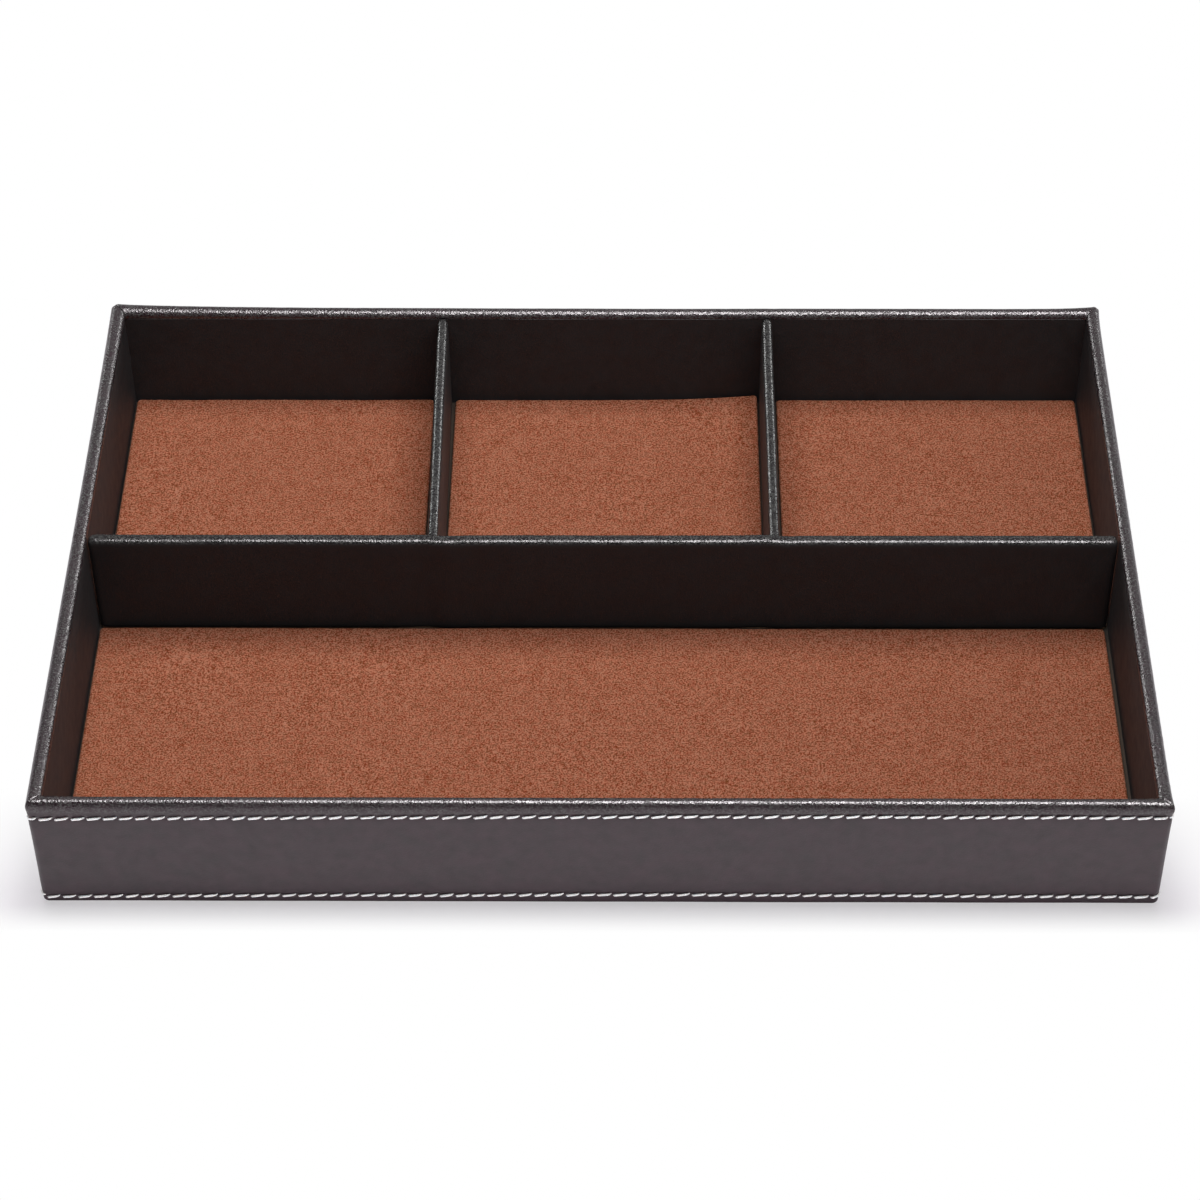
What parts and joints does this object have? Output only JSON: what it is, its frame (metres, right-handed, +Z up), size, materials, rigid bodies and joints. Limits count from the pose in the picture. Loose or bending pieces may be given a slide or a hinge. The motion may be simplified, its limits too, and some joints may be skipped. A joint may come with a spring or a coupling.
{
  "type": "valet tray",
  "caption": "Rectangular leather-covered valet tray with a wide front compartment, smaller rear compartments, suede floor pads and white stitching.",
  "frame": {"origin": "middle of the underside, on the surface that the tray stands on", "axes": "+X along the tray's length to the user's right, +Y from the front compartment to the back, +Z up"},
  "size_m": [0.3406, 0.2306, 0.045],
  "materials": {
    "outer_leather": "fine pebbled grain, semi-gloss, dark brown-black",
    "inner_leather": "smooth, semi-gloss, dark brown",
    "suede": "short-nap brown suede cloth",
    "thread": "off-white twisted polyester thread",
    "board": "bare fibreboard",
    "card": "plain grey-brown card",
    "felt": "black flocked felt"
  },
  "bodies": {
    "tray": {"base_board": "board", "front_wall_board": "board", "front_cover": "outer_leather", "front_lining": "inner_leather", "front_upper_stitching": "thread", "front_lower_stitching": "thread", "right_wall_board": "board", "right_cover": "outer_leather", "right_lining": "inner_leather", "right_upper_stitching": "thread", "right_lower_stitching": "thread", "back_wall_board": "board", "back_cover": "outer_leather", "back_lining": "inner_leather", "back_upper_stitching": "thread", "back_lower_stitching": "thread", "left_wall_board": "board", "left_cover": "outer_leather", "left_lining": "inner_leather", "left_upper_stitching": "thread", "left_lower_stitching": "thread", "long_divider_board": "board", "long_divider_wrap": "inner_leather", "left_divider_board": "board", "left_divider_wrap": "inner_leather", "right_divider_board": "board", "right_divider_wrap": "inner_leather", "packing_card": "card", "base_felt": "felt"},
    "front_pad": {"front_pad_card": "card", "front_pad_suede": "suede"},
    "rear_left_pad": {"rear_left_pad_card": "card", "rear_left_pad_suede": "suede"},
    "rear_middle_pad": {"rear_middle_pad_card": "card", "rear_middle_pad_suede": "suede"},
    "rear_right_pad": {"rear_right_pad_card": "card", "rear_right_pad_suede": "suede"}
  },
  "joints": [
    {"name": "front_pad_lift", "type": "slide", "parent": "tray", "child": "front_pad", "axis": [0, 0, 1], "range_m": [0, 0.06]},
    {"name": "rear_left_pad_lift", "type": "slide", "parent": "tray", "child": "rear_left_pad", "axis": [0, 0, 1], "range_m": [0, 0.06]},
    {"name": "rear_middle_pad_lift", "type": "slide", "parent": "tray", "child": "rear_middle_pad", "axis": [0, 0, 1], "range_m": [0, 0.06]},
    {"name": "rear_right_pad_lift", "type": "slide", "parent": "tray", "child": "rear_right_pad", "axis": [0, 0, 1], "range_m": [0, 0.06]}
  ]
}
